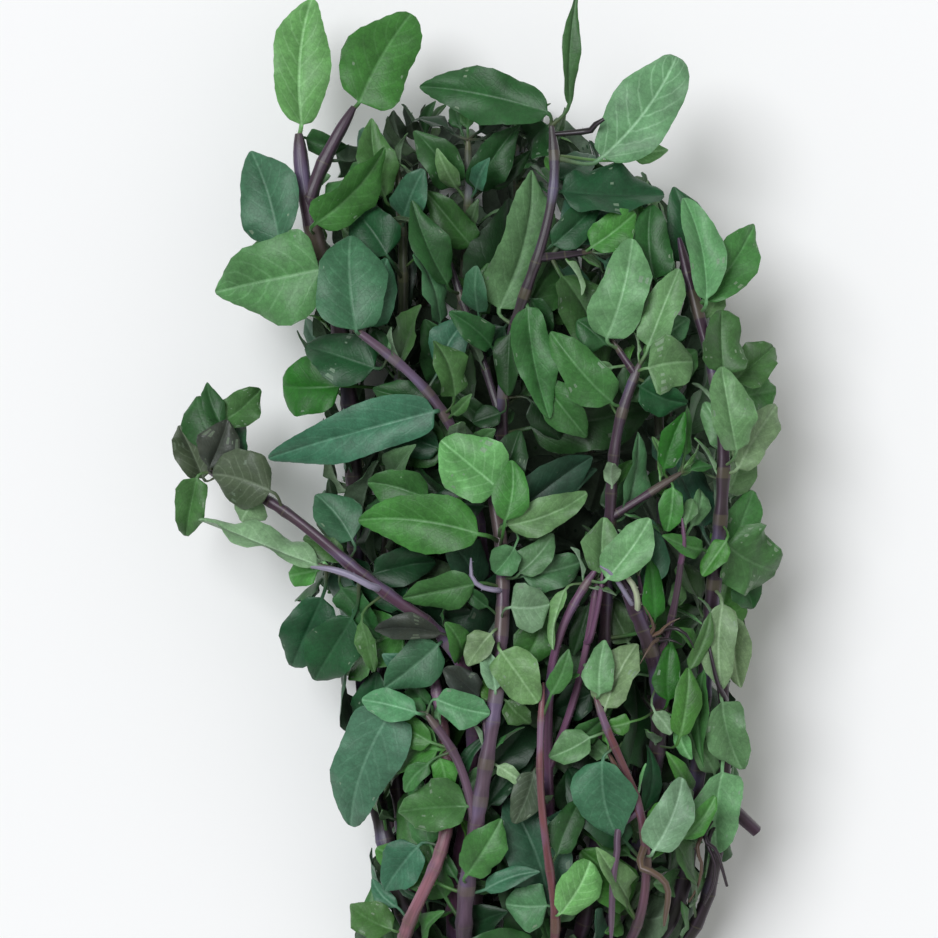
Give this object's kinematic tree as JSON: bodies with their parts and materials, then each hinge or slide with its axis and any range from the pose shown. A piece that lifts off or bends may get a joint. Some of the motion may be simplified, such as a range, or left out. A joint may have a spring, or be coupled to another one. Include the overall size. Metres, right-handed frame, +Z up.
{
  "type": "mint bunch",
  "caption": "Cut bunch of fresh purple-stemmed mint lying on its side, square stems gathered towards bare cut ends and thickly covered with leaves",
  "frame": {"origin": "centre of the bounding box's underside, on the surface that the bunch lies on", "axes": "+Y runs along the stems from the cut ends to the tips, +Z is up from the surface, +X is to the right when the bunch is seen from above with its tips away"},
  "size_m": [0.1955, 0.3886, 0.0717],
  "materials": {
    "leaf_green": "satin",
    "deep_leaf_green": "satin"
  },
  "bodies": {
    "root": {"stem_top_left": "leaf_green", "stem_upper_left": "leaf_green", "stem_crown": "leaf_green", "stem_middle_right": "leaf_green", "stem_right": "leaf_green", "stem_left_shoot": "leaf_green", "stem_main": "leaf_green", "stem_slender": "leaf_green", "stem_pink": "leaf_green", "stem_curved": "leaf_green", "stem_dark": "leaf_green", "stem_low_right": "deep_leaf_green", "stem_low_left": "deep_leaf_green", "stem_inner_left": "deep_leaf_green", "stem_inner_middle": "deep_leaf_green", "stem_inner_right": "deep_leaf_green", "stem_under_far_left": "deep_leaf_green", "stem_under_left": "deep_leaf_green", "stem_under_middle": "deep_leaf_green", "stem_under_right": "deep_leaf_green", "stem_under_far_right": "deep_leaf_green"}
  },
  "joints": []
}
